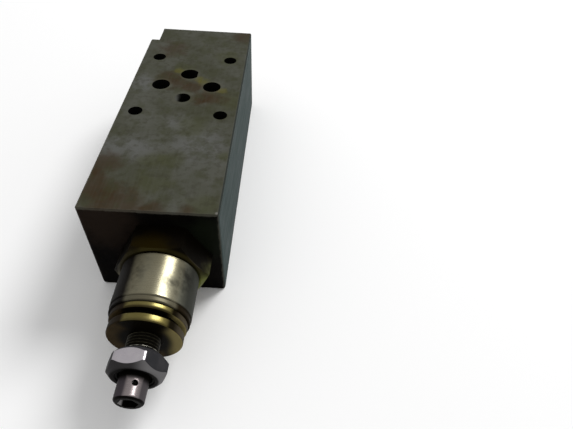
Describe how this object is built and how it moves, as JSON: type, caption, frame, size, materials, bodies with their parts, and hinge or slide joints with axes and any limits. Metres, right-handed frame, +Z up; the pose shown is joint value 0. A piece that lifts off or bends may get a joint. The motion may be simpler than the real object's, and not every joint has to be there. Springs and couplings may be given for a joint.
{
  "type": "hydraulic sandwich valve",
  "caption": "Ported steel block of a hydraulic sandwich plate pressure valve, with a hexagon based spring adjuster, lock nut and screw spindle on one end and a sliding spool inside.",
  "frame": {"origin": "centre of the screw hole pattern on the bottom mounting face", "axes": "+Z up through the mounting faces, -Y towards the adjuster, +X towards port T"},
  "size_m": [0.0452, 0.1736, 0.04],
  "materials": {
    "body_steel": "machined and ground, dark and oil stained, with traces of rust",
    "gold_chromate": "zinc plated and yellow chromated steel, semi gloss",
    "turned_steel": "fine turned bright steel with oil stains",
    "zinc_plate": "bright zinc plate",
    "spindle_steel": "plain turned steel, slightly dark",
    "plug_steel": "phosphated steel",
    "inner_steel": "ground steel under oil",
    "seal_rubber": "matt black nitrile rubber"
  },
  "bodies": {
    "housing": {"valve_body": "body_steel", "hex_plug": "gold_chromate", "spring_sleeve": "turned_steel", "bush_seal_washer": "turned_steel", "end_bush": "gold_chromate", "main_spring": "inner_steel", "hex_plug_o_ring": "seal_rubber", "sleeve_o_ring": "seal_rubber", "rear_plug": "plug_steel", "rear_plug_o_ring": "seal_rubber", "p_port_o_ring": "seal_rubber", "t_port_o_ring": "seal_rubber", "a_port_o_ring": "seal_rubber", "b_port_o_ring": "seal_rubber"},
    "spool": {"control_spool": "inner_steel", "damping_orifice": "inner_steel", "spool_spring_seat": "inner_steel"},
    "pad": {"spring_pad": "inner_steel"},
    "spindle": {"adjusting_spindle": "spindle_steel", "spindle_o_ring": "seal_rubber"},
    "nut_seal": {"nut_seal_ring": "seal_rubber"},
    "nut": {"lock_nut": "zinc_plate"}
  },
  "joints": [
    {"name": "spool_slide", "type": "slide", "parent": "housing", "child": "spool", "axis": [0, -1, 0], "range_m": [0, 0.004], "stiffness_N_per_m": 54000, "springref_m": -0.008, "deforming": ["main_spring"]},
    {"name": "pad_slide", "type": "slide", "parent": "housing", "child": "pad", "axis": [0, 1, 0], "range_m": [-0.003, 0.002], "deforming": ["main_spring"]},
    {"name": "spindle_turn", "type": "hinge", "parent": "pad", "child": "spindle", "pos_m": [0.0037, -0.11, 0.02], "axis": [0, 1, 0], "range_deg": [-1080, 720]},
    {"name": "nut_slide", "type": "slide", "parent": "spindle", "child": "nut_seal", "axis": [0, 1, 0], "range_m": [-0.003, 0.003]},
    {"name": "nut_turn", "type": "hinge", "parent": "nut_seal", "child": "nut", "pos_m": [0.0037, -0.1136, 0.02], "axis": [0, 1, 0], "range_deg": [-1080, 1080]}
  ],
  "couplings": [
    {"joint": "spindle_turn", "follows": "pad_slide", "rad_per_m": 6283.2},
    {"joint": "nut_turn", "follows": "nut_slide", "rad_per_m": 6283.2}
  ]
}
